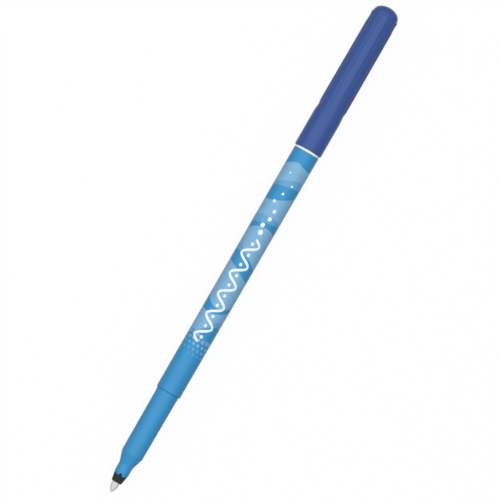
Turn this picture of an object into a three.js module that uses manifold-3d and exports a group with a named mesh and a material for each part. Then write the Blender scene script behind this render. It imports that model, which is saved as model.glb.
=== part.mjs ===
// An ink eradicator pen: a slim felt-tip pen that lies on a table with its tip towards -X
// and its ventilated cap pushed onto the plug at its rear end.
// Millimetres, +Z up. Stations are distances along the pen, counted from the point of the nib.

import * as THREE from "three";
import { mergeVertices } from "three/addons/utils/BufferGeometryUtils.js";
import Module from "manifold-3d";

const wasm = await Module();
wasm.setup();

// Round surfaces

const aroundPen = 48; // flat strips around each turned piece, one of them facing the table
const aroundNib = 32;
const aroundNotch = 12;
const arcSteps = 6; // steps along a quarter round
const rimSteps = 3;
const noseSteps = 9;
const taperSteps = 5;
const domeSteps = 10;
const ribEndSteps = 10; // along the round front end of a rib

// Cutting and joining

const spare = 1; // how far a tool body reaches past what it cuts
const lift = 0.01; // between a tool body and a surface that it must not touch

// Fits between pieces

const pressGap = 0.05; // radial gap that stands for a press fit
const looseGap = 0.08; // radial gap of pieces that slip in freely
const faceGap = 0.03; // between end faces that meet
const capFit = 0.05; // radial gap between the cap and what it is pushed over
const capSnap = 0.03; // how far the cap's grip ring has to spring over the land

// Nib of pressed fibre

const nibRadius = 1.27;
const nibShows = 3.54; // length in front of the collar
const nibPointRadius = 0.16;
const nibSwell = 0.85; // share of the shown length over which it swells to full thickness
const nibSlimness = 0.75; // power of the swell: a higher one makes the point slimmer
const nibInReservoir = 7;
const nibTailTaper = 1.6; // length of the blunt cone on its hidden end
const nibTailRadius = 0.5;

// Black collar that holds the nib

const collarShows = 2.43;
const collarFrontRadius = 1.7;
const collarBackRadius = 2.15;
const collarEdge = 0.08; // chamfer of its front edge
const collarShankRadius = 1.76;
const collarShankLength = 6.2;
const airWays = 6; // grooves in the shank and notches in the section's rim, which let air in
const collarGrooveWidth = 0.5;
const collarGrooveDepth = 0.22;

// Grip section

const noseLength = 1.1; // taper between the collar and the neck
const neckRadius = 2.37;
const neckLength = 2.63;
const coneLength = 3.75;
const coneBlend = 0.25; // half the length of the bends at both ends of the cone
const gripFrontRadius = 3.61;
const gripBackRadius = 3.74;
const gripLength = 21.27;
const landRadius = 3.8; // seat of the cap's grip ring when the pen is closed
const landLength = 1.38;
const landBevel = 0.12;
const spigotLength = 9;
const spigotWall = 0.52;
const spigotBevel = 0.4;
const reliefDepth = 0.2; // groove around the spigot
const reliefLength = 1.6;
const reliefStart = 3.4;
const sectionBoreBevel = 0.3;
const innerConeStart = 4.55; // behind the section's front face
const innerConeLength = 3.8;
const stopFins = 4; // fins that stop the reservoir
const stopThickness = 0.7;
const stopReach = 1.55; // radius that the fins leave free for the nib
const stopGap = 0.15; // between the collar's shank and the fins
const ventNotchRadius = 0.5; // round-ended notches in the section's front rim
const ventNotchDepth = 0.7;

// Barrel

const barrelRadius = 4.2; // at the front
const barrelRearRadius = 4.33; // the barrel widens to the rear, as its mould's draft asks
const barrelWall = 0.7;
const barrelLength = 87.32;
const barrelEdge = 0.1; // chamfer of its ends
const landPocketDepth = 0.3; // recess that takes the end of the land
const barrelRibs = 6;
const barrelRibThickness = 0.55;
const barrelRibInset = 1.2; // the ribs stop this far from the spigot and the reservoir's end

// Reservoir

const filmThickness = 0.1;
const filmGap = 0.03;

// Rear plug

const flangeRadius = 4.27;
const flangeThickness = 0.72;
const flangeEdge = 0.08;
const plugShankLength = 7;
const plugShankBevel = 0.5;
const plugWall = 0.85;
const stubDraft = 0.06; // how much thinner the stub is at its end
const stubLength = 9; // post for the cap
const stubRound = 0.8;
const plugWebThickness = 0.7;
const plugWebReach = 1.6; // the crossed webs reach this far past the shank, to the reservoir

// Cap shell

const capRadius = 4.69;
const capLength = 52.18;
const capRimRound = 0.3;
const capMouthLength = 11.99; // smooth band at the mouth
const capTaperLength = 3; // gentle step from the band down to the waist
const capWaistRadius = 4.5;
const capDomeRadius = 4.25;
const capDomeHeight = 2.85;
const capWall = 0.74;
const capLeadIn = 0.2; // radial width of the bevel inside the rim
const capLeadInLength = 0.45;
const capBoreLength = 12.6; // depth of the wide bore behind the rim
const gripRingGap = 0.12; // between the land and the grip ring behind it when the pen is closed
const gripRingLength = 1.2;
const gripRingEdge = 0.35; // sloped flank of the grip ring
const ventHoleRadius = 0.8;
const ventHoleEdge = 0.12;

// Ribs on the cap

const capRibs = 4;
const capRibHalfWidth = 1.2;
const capRibFrontRadius = 4.67;
const capRibBackRadius = 4.6;
const capRibRise = 1.9; // length over which a rib rises out of the waist
const capRibLength = 34;
const capRibDip = 0.13; // depth of the shallow dip before a rib's rear end
const capRibDipLength = 4.1; // from the start of the dip to the rib's end
const capRibDipSlope = 1; // length of the steep part at the dip's front
const capRibDipSteep = 0.7; // share of the depth that the steep part takes
const capRibLip = 0.1; // height of the ear at the rib's end
const capRibLipLength = 1.3;
const capRibLipTop = 0.4; // length of the ear's level top

// Seal inside the cap

const sealWall = 0.6;
const sealMouthFlare = 0.35;
const sealNeckShare = 0.75; // share of the neck that the closed cap's seal covers
const sealEdge = 0.3; // chamfers inside the cup
const sealHeadroom = 2.4; // free length in front of the nib when the pen is closed
const sealEnd = 0.9;
const sealFinThickness = 0.8;
const sealTailGap = 0.12; // between the fins and the inside of the dome

// Stations that follow from the sizes above

const collarFront = nibShows;
const sectionFront = collarFront + collarShows;
const collarShankFront = sectionFront - faceGap;
const collarEnd = collarShankFront + collarShankLength;
const neckFront = sectionFront + noseLength;
const coneFront = neckFront + neckLength;
const gripFront = coneFront + coneLength;
const landFront = gripFront + gripLength;
const barrelFront = landFront + landLength;
const spigotFront = barrelFront + landPocketDepth - faceGap;
const spigotEnd = spigotFront + spigotLength;
const barrelEnd = barrelFront + barrelLength;
const flangeFront = barrelEnd + faceGap;
const flangeEnd = flangeFront + flangeThickness;
const plugShankFront = flangeFront - plugShankLength;
const stubEnd = flangeEnd + stubLength;
const capRim = flangeEnd + faceGap;
const capTaperStart = capRim + capMouthLength;
const capWaist = capTaperStart + capTaperLength;
const capEnd = capRim + capLength;
const domeAngle = Math.acos((ventHoleRadius + ventHoleEdge) / capDomeRadius); // up to the hole
const domeStart = capEnd - capDomeHeight * Math.sin(domeAngle);
const ribEnd = capWaist + capRibLength;

// Radii that follow

const barrelBore = barrelRadius - barrelWall;
const spigotRadius = barrelBore - pressGap;
const noseBore = collarShankRadius + pressGap;
const capBore = landRadius + 2 * capFit;
const gripRingRadius = landRadius - capSnap;
const stubRadius = gripRingRadius - capFit;
const reservoirStop = sectionFront + innerConeStart + innerConeLength + faceGap;
const sectionBore = spigotRadius - spigotWall;
const filmRadius = sectionBore - looseGap;
const coreRadius = filmRadius - filmThickness - filmGap;
const reservoirEnd = plugShankFront - plugWebReach - faceGap;
const nibEnd = reservoirStop + nibInReservoir;
const nibBore = nibRadius + pressGap;
const axisHeight = capRadius * Math.cos(Math.PI / aroundPen);

// Shapes

// Points on a quarter or other part of an ellipse, from one angle to another in degrees.
// 0 degrees points away from the pen's axis and 90 degrees towards the rear.
function arc(station, radius, across, along, from, to, steps = arcSteps) {
  return Array.from({ length: steps + 1 }, (_, i) => {
    const angle = THREE.MathUtils.degToRad(from + ((to - from) * i) / steps);
    return [station + along * Math.sin(angle), radius + across * Math.cos(angle)];
  });
}

// A solid from any closed three.js geometry.
function solidOf(geometry) {
  const bare = geometry.clone();
  bare.deleteAttribute("normal");
  bare.deleteAttribute("uv");
  const merged = mergeVertices(bare, 1e-4);
  const triVerts = new Uint32Array(merged.index.array);
  const vertProperties = merged.attributes.position.array;
  return new wasm.Manifold(new wasm.Mesh({ numProp: 3, vertProperties, triVerts }));
}

// A profile of [station, radius] points turned around the pen's axis. It runs towards the rear
// on the outside and, if it doesn't end on the axis, comes back on the inside.
function turned(profile, around = aroundPen) {
  const closed = profile[0][1] === 0 ? profile : [...profile, profile[0]];
  const points = closed.map(([station, radius]) => new THREE.Vector2(radius, station));
  const geometry = new THREE.LatheGeometry(points, around, Math.PI / around);
  return solidOf(geometry.rotateZ(-Math.PI / 2));
}

// A box given by its stations, its width around the pen and its reach from the axis,
// turned around the axis by an angle in radians. Angle 0 faces up.
function fin(from, to, width, innerRadius, outerRadius, angle) {
  const box = new THREE.BoxGeometry(to - from, width, outerRadius - innerRadius);
  box.translate((from + to) / 2, 0, (innerRadius + outerRadius) / 2);
  return solidOf(box.rotateX(angle));
}

// The same fin repeated at even angles.
function finsAround(count, from, to, width, innerRadius, outerRadius) {
  return Array.from({ length: count }, (_, i) =>
    fin(from, to, width, innerRadius, outerRadius, (i * 2 * Math.PI) / count),
  );
}

// The solids of a list joined to the first one.
function joined(first, others) {
  return others.reduce((whole, next) => whole.add(next), first);
}

// The solids of a list cut out of the first one.
function cut(first, others) {
  return others.reduce((whole, next) => whole.subtract(next), first);
}

// A solid as a named mesh.
function piece(name, solid, material) {
  const { vertProperties, triVerts } = solid.getMesh();
  const geometry = new THREE.BufferGeometry();
  geometry.setAttribute("position", new THREE.BufferAttribute(vertProperties, 3));
  geometry.setIndex(new THREE.BufferAttribute(triVerts, 1));
  geometry.computeVertexNormals();
  const mesh = new THREE.Mesh(geometry, material);
  mesh.name = name;
  return mesh;
}

// Materials

const plastic = (color, roughness) =>
  new THREE.MeshStandardMaterial({ color, roughness, metalness: 0 });
const skyBlue = plastic(0x4c9acf, 0.35);
const navyBlue = plastic(0x40589a, 0.35);
const black = plastic(0x2c2d2c, 0.45);
const white = plastic(0xf2f6f8, 0.4);
const clearFilm = plastic(0xdfe6ea, 0.2);
const nibFibre = plastic(0xdcdcdc, 0.85);
const coreFibre = plastic(0xf0efe9, 0.95);

// Nib: a rounded point that swells to the full thickness like a bullet, a long straight shank,
// and a blunt tail that is pushed into the reservoir.
function nibProfile() {
  const nose = Array.from({ length: noseSteps }, (_, i) => {
    const share = (i + 1) / noseSteps;
    const swell = Math.sin((share * Math.PI) / 2) ** nibSlimness;
    return [share * nibShows * nibSwell, nibPointRadius + (nibRadius - nibPointRadius) * swell];
  });
  return [
    [0, 0],
    [nibPointRadius / 3, nibPointRadius],
    ...nose,
    [nibEnd - nibTailTaper, nibRadius],
    [nibEnd, nibTailRadius],
    [nibEnd, 0],
  ];
}

function makeNib() {
  return piece("nib", turned(nibProfile(), aroundNib), nibFibre);
}

// Collar: a short black cone in front, and a shank with air grooves inside the section's nose.
function makeNibCollar() {
  const body = turned([
    [collarFront, collarFrontRadius - collarEdge],
    [collarFront + collarEdge, collarFrontRadius],
    [collarShankFront, collarBackRadius],
    [collarShankFront, collarShankRadius],
    [collarEnd - collarEdge, collarShankRadius],
    [collarEnd, collarShankRadius - collarEdge],
    [collarEnd, nibBore],
    [collarFront, nibBore],
  ]);
  const grooves = finsAround(
    airWays,
    collarShankFront - collarGrooveDepth,
    collarEnd + faceGap,
    collarGrooveWidth,
    collarShankRadius - collarGrooveDepth,
    collarShankRadius + pressGap,
  );
  return piece("nib_collar", cut(body, grooves), black);
}

// Grip section: nose, neck, cone, long grip, a land for the cap, and a spigot in the barrel.
function makeGripSection() {
  const blendRise = ((gripFrontRadius - neckRadius) / coneLength) * coneBlend;
  const boreCone = sectionFront + innerConeStart;
  const boreWide = boreCone + innerConeLength;
  const relief = spigotFront + reliefStart;
  const body = turned([
    [sectionFront, collarBackRadius],
    [neckFront, neckRadius],
    [coneFront - coneBlend, neckRadius],
    [coneFront + coneBlend, neckRadius + blendRise],
    [gripFront - coneBlend, gripFrontRadius - blendRise],
    [gripFront + coneBlend, gripFrontRadius],
    [landFront, gripBackRadius],
    [landFront + landBevel, landRadius],
    [spigotFront, landRadius],
    [spigotFront, spigotRadius],
    [relief, spigotRadius],
    [relief, spigotRadius - reliefDepth],
    [relief + reliefLength, spigotRadius - reliefDepth],
    [relief + reliefLength, spigotRadius],
    [spigotEnd - spigotBevel, spigotRadius],
    [spigotEnd, spigotRadius - spigotBevel / 2],
    [spigotEnd, sectionBore + sectionBoreBevel / 2],
    [spigotEnd - sectionBoreBevel, sectionBore],
    [boreWide, sectionBore],
    [boreCone, noseBore],
    [sectionFront, noseBore],
  ]);
  const stops = finsAround(
    stopFins,
    collarEnd + stopGap,
    boreWide,
    stopThickness,
    stopReach,
    sectionBore + pressGap,
  );
  const through = 2 * (neckRadius - noseBore); // passes right through the nose's wall
  const notch = new THREE.CylinderGeometry(
    ventNotchRadius,
    ventNotchRadius,
    through,
    aroundNotch,
  );
  notch.rotateX(Math.PI / 2);
  notch.translate(sectionFront + ventNotchDepth - ventNotchRadius, 0, collarBackRadius);
  const notches = Array.from({ length: airWays }, (_, i) =>
    solidOf(notch.clone().rotateX((i * 2 * Math.PI) / airWays)),
  );
  return piece("grip_section", cut(joined(body, stops), notches), skyBlue);
}

// Barrel: a thin tube whose inner ribs keep the reservoir central and leave air channels.
function makeBarrel() {
  const pocketEnd = barrelFront + landPocketDepth;
  const pocketRadius = landRadius + pressGap;
  const tube = turned([
    [barrelFront, barrelRadius - barrelEdge],
    [barrelFront + barrelEdge, barrelRadius],
    [barrelEnd - barrelEdge, barrelRearRadius],
    [barrelEnd, barrelRearRadius - barrelEdge],
    [barrelEnd, barrelBore],
    [pocketEnd, barrelBore],
    [pocketEnd, pocketRadius],
    [barrelFront, pocketRadius],
  ]);
  const ribs = finsAround(
    barrelRibs,
    spigotEnd + barrelRibInset,
    reservoirEnd - barrelRibInset,
    barrelRibThickness,
    filmRadius + looseGap,
    barrelBore + barrelWall / 2,
  );
  return piece("barrel", joined(tube, ribs), skyBlue);
}

// Reservoir: a soaked fibre rod, with the hole that the nib makes in it, in a film sleeve.
function makeReservoirCore() {
  const rod = turned([
    [reservoirStop, coreRadius],
    [reservoirEnd, coreRadius],
    [reservoirEnd, 0],
    [nibEnd + pressGap, 0],
    [nibEnd + pressGap, nibTailRadius + pressGap],
    [nibEnd - nibTailTaper, nibBore],
    [reservoirStop, nibBore],
  ]);
  return piece("reservoir_core", rod, coreFibre);
}

function makeReservoirFilm() {
  const sleeve = turned([
    [reservoirStop, filmRadius],
    [reservoirEnd, filmRadius],
    [reservoirEnd, filmRadius - filmThickness],
    [reservoirStop, filmRadius - filmThickness],
  ]);
  return piece("reservoir_film", sleeve, clearFilm);
}

// Rear plug: a shank in the barrel, a flange that shows as a thin ring, and a post for the cap.
// It is hollow from the reservoir's side, with crossed webs that hold the reservoir in place.
function makeEndPlug() {
  const shankRadius = barrelBore - pressGap;
  const hollow = shankRadius - plugWall;
  const stubTip = stubRadius - stubDraft;
  const body = turned([
    [plugShankFront, hollow + plugWall - plugShankBevel / 2],
    [plugShankFront + plugShankBevel, shankRadius],
    [flangeFront, shankRadius],
    [flangeFront, flangeRadius - flangeEdge],
    [flangeFront + flangeEdge, flangeRadius],
    [flangeEnd - flangeEdge, flangeRadius],
    [flangeEnd, flangeRadius - flangeEdge],
    [flangeEnd, stubRadius],
    ...arc(stubEnd - stubRound, stubTip - stubRound, stubRound, stubRound, 0, 90),
    [stubEnd, 0],
    [stubEnd - plugWall, 0],
    [stubEnd - plugWall, hollow - stubRound / 2],
    [stubEnd - plugWall - stubRound / 2, hollow],
    [plugShankFront, hollow],
  ]);
  const webFront = plugShankFront - plugWebReach;
  const webEnd = stubEnd - plugWall / 2;
  const half = hollow + plugWall / 2;
  const webs = [0, Math.PI / 2].map((angle) =>
    fin(webFront, webEnd, plugWebThickness, -half, half, angle),
  );
  return piece("end_plug", joined(body, webs), white);
}

// The gentle step from the cap's band down to its waist: an S-shaped curve.
function capStep() {
  return Array.from({ length: taperSteps + 1 }, (_, i) => {
    const share = i / taperSteps;
    const fall = THREE.MathUtils.smoothstep(share, 0, 1);
    const radius = THREE.MathUtils.lerp(capRadius, capWaistRadius, fall);
    return [capTaperStart + share * capTaperLength, radius];
  });
}

// Outline of a rib seen from above: straight sides, a round front end and a square rear end.
function capRibOutline() {
  const roundCentre = capWaist + capRibHalfWidth;
  const shape = new THREE.Shape();
  shape.moveTo(ribEnd, -capRibHalfWidth);
  shape.lineTo(ribEnd, capRibHalfWidth);
  shape.lineTo(roundCentre, capRibHalfWidth);
  shape.absarc(roundCentre, 0, capRibHalfWidth, Math.PI / 2, (3 * Math.PI) / 2);
  shape.closePath();
  return shape;
}

// One rib block, which the shared envelope then trims to its height.
function capRibBlock(angle) {
  const inner = capDomeRadius - capWall / 2;
  const block = new THREE.ExtrudeGeometry(capRibOutline(), {
    depth: capRadius - inner + spare,
    bevelEnabled: false,
    curveSegments: ribEndSteps,
  });
  block.translate(0, 0, inner);
  return solidOf(block.rotateX(angle));
}

// Cap shell: smooth mouth, waist, tapered core with four ribs, and a dome with a vent hole.
function makeCapShell() {
  const rimCentre = capRadius - capRimRound;
  const boreEnd = capRim + capBoreLength;
  const ring = capRim + landLength + gripRingGap;
  const innerWaist = capWaistRadius - capWall;
  const innerDome = capDomeRadius - capWall;
  const innerDomeHeight = capDomeHeight - capWall;
  const outerAngle = THREE.MathUtils.radToDeg(domeAngle);
  const innerAngle = THREE.MathUtils.radToDeg(Math.acos(ventHoleRadius / innerDome));
  const shell = turned([
    ...arc(capRim + capRimRound, rimCentre, capRimRound, capRimRound, -90, 0, rimSteps),
    ...capStep(),
    ...arc(domeStart, 0, capDomeRadius, capDomeHeight, 0, outerAngle, domeSteps),
    [capEnd - ventHoleEdge, ventHoleRadius],
    ...arc(domeStart, 0, innerDome, innerDomeHeight, innerAngle, 0, domeSteps / 2),
    [boreEnd + capTaperLength / 2, innerWaist],
    [boreEnd, capBore],
    [ring + gripRingLength, capBore],
    [ring + gripRingLength - gripRingEdge, gripRingRadius],
    [ring + gripRingEdge, gripRingRadius],
    [ring, capBore],
    [capRim + capLeadInLength, capBore],
    [capRim, capBore + capLeadIn],
  ]);
  const dipFront = ribEnd - capRibDipLength;
  const lipFront = ribEnd - capRibLipLength;
  const dipRadius = capRibBackRadius - capRibDip;
  const envelope = turned([
    [capWaist - spare, 0],
    [capWaist - spare, capWaistRadius - capWall / 2],
    [capWaist, capWaistRadius + lift],
    [capWaist + capRibRise, capRibFrontRadius],
    [dipFront, capRibBackRadius],
    [dipFront + capRibDipSlope, capRibBackRadius - capRibDip * capRibDipSteep],
    [lipFront, dipRadius],
    [ribEnd - capRibLipTop, dipRadius + capRibLip],
    [ribEnd + spare, dipRadius + capRibLip],
    [ribEnd + spare, 0],
  ]);
  const ribs = Array.from({ length: capRibs }, (_, i) =>
    capRibBlock((i * 2 * Math.PI) / capRibs).intersect(envelope),
  );
  return piece("cap_shell", joined(shell, ribs), navyBlue);
}

// Seal: a cup that closes round the neck when the cap is on the tip, carried by crossed fins
// that leave the way free for air between the mouth and the vent hole.
function makeCapSeal() {
  const lipRadius = neckRadius + capFit;
  const cupRadius = collarBackRadius + 2 * capFit;
  const outer = lipRadius + sealWall;
  // The closed cap's rim stands at the barrel's front, so depths in the cap count from there.
  const mouth = capRim + barrelFront - neckFront - neckLength * sealNeckShare;
  const lipEnd = capRim + barrelFront - sectionFront;
  const cupEnd = capRim + barrelFront + sealHeadroom;
  const boreEnd = capRim + capBoreLength + capTaperLength / 2;
  const shellBore = (station) => {
    const share = (station - boreEnd) / (domeStart - boreEnd);
    return THREE.MathUtils.lerp(capWaistRadius - capWall, capDomeRadius - capWall, share);
  };
  const finFront = lipEnd;
  const finEnd = domeStart - sealTailGap;
  const cup = turned([
    [mouth, outer],
    [cupEnd + sealEnd, outer],
    [cupEnd + sealEnd, 0],
    [cupEnd, 0],
    [cupEnd, cupRadius - sealEdge],
    [cupEnd - sealEdge, cupRadius],
    [lipEnd + sealEdge, cupRadius],
    [lipEnd, lipRadius],
    [mouth + sealMouthFlare, lipRadius],
    [mouth, lipRadius + sealMouthFlare],
  ]);
  const room = turned([
    [finFront, 0],
    [finFront, shellBore(finFront) - pressGap],
    [finEnd, shellBore(finEnd) - pressGap],
    [finEnd, 0],
  ]);
  const cross = [0, Math.PI / 2].map((angle) =>
    fin(finFront, finEnd, sealFinThickness, -capWaistRadius, capWaistRadius, angle),
  );
  const hollow = turned([
    [finFront - spare, 0],
    [finFront - spare, outer - sealWall / 2],
    [cupEnd + sealEnd / 2, outer - sealWall / 2],
    [cupEnd + sealEnd / 2, 0],
  ]);
  const fins = cut(joined(cross[0], [cross[1]]).intersect(room), [hollow]);
  return piece("cap_seal", joined(cup, [fins]), white);
}

// The pen lies with its thickest part, the mouth of the cap, on the table.
const writingPart = new THREE.Group();
writingPart.add(
  makeNib(),
  makeNibCollar(),
  makeGripSection(),
  makeBarrel(),
  makeReservoirCore(),
  makeReservoirFilm(),
  makeEndPlug(),
);

const cap = new THREE.Group();
cap.add(makeCapShell(), makeCapSeal());

const pen = new THREE.Group();
pen.add(writingPart, cap);
pen.position.set(-capEnd / 2, 0, axisHeight);

export default pen;
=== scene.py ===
"""Looks of a slim fibre-tip ink eradicator pen, built around its solids.

The pen lies along X with its nib towards -X and its cap pushed onto its rear end. Each turned
piece is a profile carried round the pen's axis, worked out as whole arrays. Metres throughout.
"""

import math
from functools import partial

import bpy
import numpy as np
from bpy.props import FloatProperty, FloatVectorProperty, IntProperty, PointerProperty
from mathutils import Matrix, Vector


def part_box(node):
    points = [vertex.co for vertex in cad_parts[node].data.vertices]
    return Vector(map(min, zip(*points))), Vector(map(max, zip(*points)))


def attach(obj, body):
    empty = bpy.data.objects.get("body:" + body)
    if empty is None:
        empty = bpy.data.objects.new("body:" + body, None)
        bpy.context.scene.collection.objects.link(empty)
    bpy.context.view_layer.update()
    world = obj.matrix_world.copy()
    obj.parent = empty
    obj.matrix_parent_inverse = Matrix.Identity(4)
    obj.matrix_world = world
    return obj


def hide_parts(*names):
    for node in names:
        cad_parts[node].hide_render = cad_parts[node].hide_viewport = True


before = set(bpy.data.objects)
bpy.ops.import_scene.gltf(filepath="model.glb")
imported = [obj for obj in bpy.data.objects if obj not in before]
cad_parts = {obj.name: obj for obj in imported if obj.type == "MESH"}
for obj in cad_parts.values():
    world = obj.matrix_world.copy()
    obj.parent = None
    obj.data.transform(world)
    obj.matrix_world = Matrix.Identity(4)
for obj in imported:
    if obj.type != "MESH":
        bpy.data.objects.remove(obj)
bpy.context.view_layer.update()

bl_info = {
    "name": "Ink Eradicator Pen",
    "version": (1, 0, 0),
    "blender": (4, 5, 0),
    "location": "3D View > Sidebar > Pen",
    "description": "Builds the surfaces, print, finishes and studio of a fibre-tip pen",
    "category": "Add Mesh",
}

MM = 0.001
TINY = 1e-9

# Bodies that the pieces ride on
PEN = "pen"
CAP = "cap"

# Repeats around the pen
AIR_WAYS = 6  # notches in the nose's rim and grooves in the collar's shank
BARREL_RIBS = 6
CAP_RIBS = 4


def ends(solid):
    """Where a solid starts and ends along X."""
    low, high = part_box(solid)
    return low.x, high.x


def radius_of(solid, strips=48):
    """Radius of a turned solid: half its height, over the cosine of half a strip's angle."""
    low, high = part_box(solid)
    return (high.z - low.z) / 2 / math.cos(math.pi / strips)


# Places and radii taken from the solids
NIB_TIP, NIB_END = ends("nib")
COLLAR_FRONT, COLLAR_END = ends("nib_collar")
SECTION_FRONT, SECTION_END = ends("grip_section")
BARREL_FRONT, BARREL_END = ends("barrel")
PLUG_FRONT, PLUG_END = ends("end_plug")
CAP_RIM, CAP_END = ends("cap_shell")
SEAL_FRONT, SEAL_END = ends("cap_seal")
AXIS_HEIGHT = (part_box("cap_shell")[0].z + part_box("cap_shell")[1].z) / 2
NIB_RADIUS = radius_of("nib", strips=32)
COLLAR_RADIUS = radius_of("nib_collar")
LAND_RADIUS = radius_of("grip_section")
BARREL_REAR_RADIUS = radius_of("barrel")
FLANGE_RADIUS = radius_of("end_plug")
CAP_RADIUS = radius_of("cap_shell")

# Fits and radii that neighbouring pieces share
PRESS_GAP = 0.05 * MM  # radial gap of a press fit
FACE_GAP = 0.03 * MM  # between end faces that meet
BARREL_RADIUS = LAND_RADIUS + 0.4 * MM  # at its front, where it stands over the land
BARREL_BORE = BARREL_RADIUS - 0.7 * MM
BARREL_FIT = BARREL_BORE - PRESS_GAP  # what is pressed into the barrel
LAND_POCKET = 0.3 * MM  # depth to which the barrel's front covers the land
COLLAR_SHANK_RADIUS = 1.76 * MM
CAP_GRIP_RADIUS = LAND_RADIUS - 0.03 * MM  # of the ring inside the cap that snaps over the land
POLE_RADIUS = 0.004 * MM  # a face across the axis ends this close to it, as a ring


def linear(hex_colour):
    """An sRGB hex colour as linear red, green and blue."""
    parts = np.array([int(hex_colour[i : i + 2], 16) / 255 for i in (1, 3, 5)])
    low = parts / 12.92
    high = ((parts + 0.055) / 1.055) ** 2.4
    return tuple(float(c) for c in np.where(parts <= 0.04045, low, high))


def size(name, description, default):
    """A length that the sidebar shows with its unit."""
    return FloatProperty(
        name=name, description=description, default=default, min=0.0, unit="LENGTH", precision=5
    )


def tint(name, description, hex_colour):
    """A colour that the sidebar shows as a swatch."""
    return FloatVectorProperty(
        name=name,
        description=description,
        default=linear(hex_colour),
        min=0.0,
        max=1.0,
        size=3,
        subtype="COLOR",
    )


class PenSizes(bpy.types.PropertyGroup):
    """Sizes of the pen's surfaces and print."""

    columns: IntProperty(
        name="Columns", description="Strips around each turned piece", default=240, min=48, max=720
    )
    neck_radius: size("Neck radius", "Radius of the neck behind the nose", 2.37 * MM)
    nose_length: size("Nose length", "Length of the nose in front of the neck", 1.1 * MM)
    neck_length: size("Neck length", "Length of the straight neck", 2.63 * MM)
    cone_length: size("Cone length", "Length of the cone behind the neck", 3.75 * MM)
    grip_front_radius: size("Grip front radius", "Radius where the grip starts", 3.61 * MM)
    grip_back_radius: size("Grip back radius", "Radius just before the land", 3.74 * MM)
    land_length: size("Land length", "Length of the seat for the closed cap", 1.38 * MM)
    notch_depth: size("Notch depth", "Depth of the air notches in the nose's rim", 0.7 * MM)
    notch_width: size("Notch width", "Width of the air notches", 1.0 * MM)
    stroke: size("Stroke width", "Width of the white strokes of the print", 0.9 * MM)
    wave_height: size("Wave height", "Height of the white wave around the barrel", 4.2 * MM)
    wave_length: size("Wave length", "Length of one wave along the barrel", 7.4 * MM)
    ink_height: size("Ink height", "How far the white ink stands on the barrel", 0.014 * MM)
    rib_half_width: size("Rib half width", "Half the width of a cap rib", 1.2 * MM)
    rib_length: size("Rib length", "Length of a cap rib", 34 * MM)


class PenColours(bpy.types.PropertyGroup):
    """Colours of the pen's plastics, fibres and inks."""

    sky: tint("Sky blue", "Plastic of the section and the barrel", "#3893CA")
    pale_ink: tint("Pale print", "Pale blue print on the barrel", "#83B6DA")
    white_ink: tint("White print", "White strokes on the barrel", "#F1F8FA")
    navy: tint("Navy", "Plastic of the cap", "#395698")
    plug: tint("Plug white", "Plastic of the rear plug and the seal", "#F3F8F9")
    collar: tint("Collar black", "Plastic of the nib's holder", "#353535")
    nib: tint("Nib white", "Pressed fibre of the nib", "#DFDFDE")


# Profiles and surfaces

# Strips of the UV map, from v to v, for the outside and the inside of a turned piece
OUTER_STRIP = (0.0, 0.8)
INNER_STRIP = (0.82, 1.0)


def rounded(*corners, steps=5):
    """A profile through corners of (station, radius, rounding).

    A corner with a rounding becomes a quadratic curve (1-t)^2 A + 2t(1-t) P + t^2 B, where P is
    the corner and A and B lie on its two sides, the rounding away. One more point on each side,
    half a rounding further out, keeps the shading of the long faces clean.
    """
    points = np.array([[c[0], c[1]] for c in corners], float)
    t = np.linspace(0, 1, steps + 1)[:, None]
    out = []
    for i, corner in enumerate(corners):
        rounding = corner[2] if len(corner) > 2 else 0.0
        if not rounding:
            out.append(points[i : i + 1])
            continue
        before = points[i - 1] - points[i]
        after = points[(i + 1) % len(points)] - points[i]
        a = points[i] + before / np.linalg.norm(before) * rounding
        b = points[i] + after / np.linalg.norm(after) * rounding
        curve = (1 - t) ** 2 * a + 2 * t * (1 - t) * points[i] + t**2 * b
        lead = a + (a - points[i]) * 0.5
        tail = b + (b - points[i]) * 0.5
        out.append(np.vstack([lead, curve, tail]))
    return np.vstack(out)


def with_rows(profile, low, high, spacing):
    """The profile with more points between two stations, so that no gap there is wider.

    New points lie at even steps on the straight line between their neighbours.
    """
    out = [profile[:1]]
    for a, b in zip(profile[:-1], profile[1:]):
        inside = low <= (a[0] + b[0]) / 2 <= high
        count = max(1, math.ceil(abs(b[0] - a[0]) / spacing)) if inside else 1
        out.append(a + (b - a) * (np.arange(1, count + 1) / count)[:, None])
    return np.vstack(out)


def eased(share):
    """A share from 0 to 1, with a soft start and end: 3 t^2 - 2 t^3."""
    return share * share * (3 - 2 * share)


def even_angles(columns):
    """Angles around the pen at even steps, 0 on top."""
    return np.arange(columns) * 2 * math.pi / columns


def off_centre(angle, count):
    """The angle to the nearest of a number of even places around the pen, one on top."""
    part = 2 * math.pi / count
    return np.abs((angle / part + 0.5) % 1 - 0.5) * part


def add_object(name, data):
    """A new object of the scene that holds a mesh, a lamp or a camera."""
    made = bpy.data.objects.new(name, data)
    bpy.context.scene.collection.objects.link(made)
    return made


def add_mesh(name, vertices, faces):
    """A new object whose mesh has these corners and faces."""
    mesh = bpy.data.meshes.new(name)
    mesh.from_pydata(np.asarray(vertices, float).tolist(), [], faces)
    return add_object(name, mesh)


def smooth(mesh, degrees):
    """Shades a mesh smooth, with edges sharper than an angle left sharp."""
    mesh.shade_smooth()
    mesh.set_sharp_from_angle(angle=math.radians(degrees))
    mesh.validate()


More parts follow.
